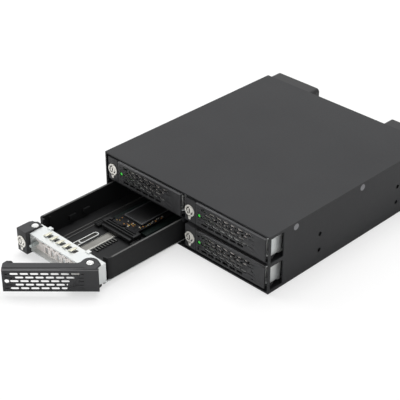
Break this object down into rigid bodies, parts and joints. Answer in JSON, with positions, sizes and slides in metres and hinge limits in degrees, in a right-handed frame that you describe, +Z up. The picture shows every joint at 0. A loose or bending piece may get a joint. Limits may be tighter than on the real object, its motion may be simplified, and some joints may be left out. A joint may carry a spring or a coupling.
{
  "type": "hot swap drive cage",
  "caption": "Half-height 5.25 inch bay cage holding pull-out drive trays with perforated latch doors, key locks, backplane and rear fans.",
  "frame": {"origin": "on the bottom face, in the middle of the cage's width and of its 171 mm depth, fans counted in", "axes": "+X to the right seen from the front, +Y to the rear (the trays pull out towards -Y), +Z up"},
  "size_m": [0.146, 0.2838, 0.0413],
  "materials": {
    "cage_paint": "semi-matt black powder coat",
    "tray_steel": "bright zinc-plated sheet",
    "tray_black": "fine matt black moulding",
    "latch_black": "fine-grained charcoal moulding",
    "pin_steel": "turned and polished steel",
    "lock_nickel": "nickel plated",
    "circuit_board": "black solder mask",
    "drive_board": "black solder mask with chips",
    "connector_black": "black moulding",
    "socket_steel": "tinned shell",
    "fan_black": "black moulding",
    "screw_steel": "blackened steel",
    "status_light": "clear green-lit light pipe"
  },
  "bodies": {
    "cage": {"chassis": "cage_paint", "top_cover": "cage_paint", "centre_divider": "cage_paint", "mid_shelves": "cage_paint", "rear_panel": "cage_paint", "backplane": "circuit_board", "backplane_sockets": "connector_black", "fan_switch": "connector_black", "screws": "screw_steel", "host_sockets": "socket_steel", "power_sockets": "connector_black", "fan_frames": "fan_black"},
    "tray_upper_left": {"tray_pan_upper_left": "tray_steel", "tray_shell_upper_left": "tray_black", "vent_plate_upper_left": "tray_steel", "pins_upper_left": "pin_steel", "light_pipe_upper_left": "status_light", "adapter_board_upper_left": "circuit_board", "drive_upper_left": "drive_board"},
    "latch_upper_left": {"latch_upper_left": "latch_black"},
    "lock_block_upper_left": {"lock_block_upper_left": "latch_black"},
    "lock_core_upper_left": {"lock_core_upper_left": "lock_nickel"},
    "drive_clip_upper_left": {"drive_clip_upper_left": "tray_black"},
    "tray_upper_right": {"tray_pan_upper_right": "tray_steel", "tray_shell_upper_right": "tray_black", "vent_plate_upper_right": "tray_steel", "pins_upper_right": "pin_steel", "light_pipe_upper_right": "status_light", "adapter_board_upper_right": "circuit_board", "drive_upper_right": "drive_board"},
    "latch_upper_right": {"latch_upper_right": "latch_black"},
    "lock_block_upper_right": {"lock_block_upper_right": "latch_black"},
    "lock_core_upper_right": {"lock_core_upper_right": "lock_nickel"},
    "drive_clip_upper_right": {"drive_clip_upper_right": "tray_black"},
    "tray_lower_left": {"tray_pan_lower_left": "tray_steel", "tray_shell_lower_left": "tray_black", "vent_plate_lower_left": "tray_steel", "pins_lower_left": "pin_steel", "light_pipe_lower_left": "status_light", "adapter_board_lower_left": "circuit_board", "drive_lower_left": "drive_board"},
    "latch_lower_left": {"latch_lower_left": "latch_black"},
    "lock_block_lower_left": {"lock_block_lower_left": "latch_black"},
    "lock_core_lower_left": {"lock_core_lower_left": "lock_nickel"},
    "drive_clip_lower_left": {"drive_clip_lower_left": "tray_black"},
    "tray_lower_right": {"tray_pan_lower_right": "tray_steel", "tray_shell_lower_right": "tray_black", "vent_plate_lower_right": "tray_steel", "pins_lower_right": "pin_steel", "light_pipe_lower_right": "status_light", "adapter_board_lower_right": "circuit_board", "drive_lower_right": "drive_board"},
    "latch_lower_right": {"latch_lower_right": "latch_black"},
    "lock_block_lower_right": {"lock_block_lower_right": "latch_black"},
    "lock_core_lower_right": {"lock_core_lower_right": "lock_nickel"},
    "drive_clip_lower_right": {"drive_clip_lower_right": "tray_black"},
    "fan_rotor_left": {"fan_rotor_left": "fan_black"},
    "fan_rotor_right": {"fan_rotor_right": "fan_black"},
    "fan_switch_slider": {"fan_switch_slider": "connector_black"}
  },
  "joints": [
    {"name": "tray_upper_left_slide", "type": "slide", "parent": "cage", "child": "tray_upper_left", "axis": [0, -1, 0], "range_m": [0, 0.14]},
    {"name": "latch_upper_left_hinge", "type": "hinge", "parent": "tray_upper_left", "child": "latch_upper_left", "pos_m": [-0.008, -0.0781, 0.03065], "axis": [0, 0, 1], "range_deg": [0, 80]},
    {"name": "lock_block_upper_left_press", "type": "hinge", "parent": "tray_upper_left", "child": "lock_block_upper_left", "pos_m": [-0.0637, -0.0757, 0.03065], "axis": [0, 0, -1], "range_deg": [0, 3], "stiffness_Nm_per_rad": 0.05, "springref_deg": -2.86},
    {"name": "lock_core_upper_left_turn", "type": "hinge", "parent": "lock_block_upper_left", "child": "lock_core_upper_left", "pos_m": [-0.0658, -0.0855, 0.0304], "axis": [0, 1, 0], "range_deg": [0, 90]},
    {"name": "drive_clip_upper_left_slide", "type": "slide", "parent": "tray_upper_left", "child": "drive_clip_upper_left", "axis": [0, -1, 0], "range_m": [0, 0.03]},
    {"name": "tray_upper_right_slide", "type": "slide", "parent": "cage", "child": "tray_upper_right", "axis": [0, -1, 0], "range_m": [0, 0.14]},
    {"name": "latch_upper_right_hinge", "type": "hinge", "parent": "tray_upper_right", "child": "latch_upper_right", "pos_m": [0.064, -0.0781, 0.03065], "axis": [0, 0, 1], "range_deg": [0, 80]},
    {"name": "lock_block_upper_right_press", "type": "hinge", "parent": "tray_upper_right", "child": "lock_block_upper_right", "pos_m": [0.0083, -0.0757, 0.03065], "axis": [0, 0, -1], "range_deg": [0, 3], "stiffness_Nm_per_rad": 0.05, "springref_deg": -2.86},
    {"name": "lock_core_upper_right_turn", "type": "hinge", "parent": "lock_block_upper_right", "child": "lock_core_upper_right", "pos_m": [0.0062, -0.0855, 0.0304], "axis": [0, 1, 0], "range_deg": [0, 90]},
    {"name": "drive_clip_upper_right_slide", "type": "slide", "parent": "tray_upper_right", "child": "drive_clip_upper_right", "axis": [0, -1, 0], "range_m": [0, 0.03]},
    {"name": "tray_lower_left_slide", "type": "slide", "parent": "cage", "child": "tray_lower_left", "axis": [0, -1, 0], "range_m": [-0.078, 0.062]},
    {"name": "latch_lower_left_hinge", "type": "hinge", "parent": "tray_lower_left", "child": "latch_lower_left", "pos_m": [-0.008, -0.1561, 0.01065], "axis": [0, 0, 1], "range_deg": [-44.5, 35.5]},
    {"name": "lock_block_lower_left_press", "type": "hinge", "parent": "tray_lower_left", "child": "lock_block_lower_left", "pos_m": [-0.0637, -0.1537, 0.01065], "axis": [0, 0, -1], "range_deg": [0, 3], "stiffness_Nm_per_rad": 0.05, "springref_deg": -2.86},
    {"name": "lock_core_lower_left_turn", "type": "hinge", "parent": "lock_block_lower_left", "child": "lock_core_lower_left", "pos_m": [-0.0658, -0.1635, 0.0104], "axis": [0, 1, 0], "range_deg": [0, 90]},
    {"name": "drive_clip_lower_left_slide", "type": "slide", "parent": "tray_lower_left", "child": "drive_clip_lower_left", "axis": [0, -1, 0], "range_m": [0, 0.03]},
    {"name": "tray_lower_right_slide", "type": "slide", "parent": "cage", "child": "tray_lower_right", "axis": [0, -1, 0], "range_m": [0, 0.14]},
    {"name": "latch_lower_right_hinge", "type": "hinge", "parent": "tray_lower_right", "child": "latch_lower_right", "pos_m": [0.064, -0.0781, 0.01065], "axis": [0, 0, 1], "range_deg": [0, 80]},
    {"name": "lock_block_lower_right_press", "type": "hinge", "parent": "tray_lower_right", "child": "lock_block_lower_right", "pos_m": [0.0083, -0.0757, 0.01065], "axis": [0, 0, -1], "range_deg": [0, 3], "stiffness_Nm_per_rad": 0.05, "springref_deg": -2.86},
    {"name": "lock_core_lower_right_turn", "type": "hinge", "parent": "lock_block_lower_right", "child": "lock_core_lower_right", "pos_m": [0.0062, -0.0855, 0.0104], "axis": [0, 1, 0], "range_deg": [0, 90]},
    {"name": "drive_clip_lower_right_slide", "type": "slide", "parent": "tray_lower_right", "child": "drive_clip_lower_right", "axis": [0, -1, 0], "range_m": [0, 0.03]},
    {"name": "fan_left_spin", "type": "hinge", "parent": "cage", "child": "fan_rotor_left", "pos_m": [-0.052, 0.08, 0.02065], "axis": [0, 1, 0], "continuous": true},
    {"name": "fan_right_spin", "type": "hinge", "parent": "cage", "child": "fan_rotor_right", "pos_m": [0.052, 0.08, 0.02065], "axis": [0, 1, 0], "continuous": true},
    {"name": "fan_switch_travel", "type": "slide", "parent": "cage", "child": "fan_switch_slider", "axis": [1, 0, 0], "range_m": [-0.002, 0.002]}
  ]
}
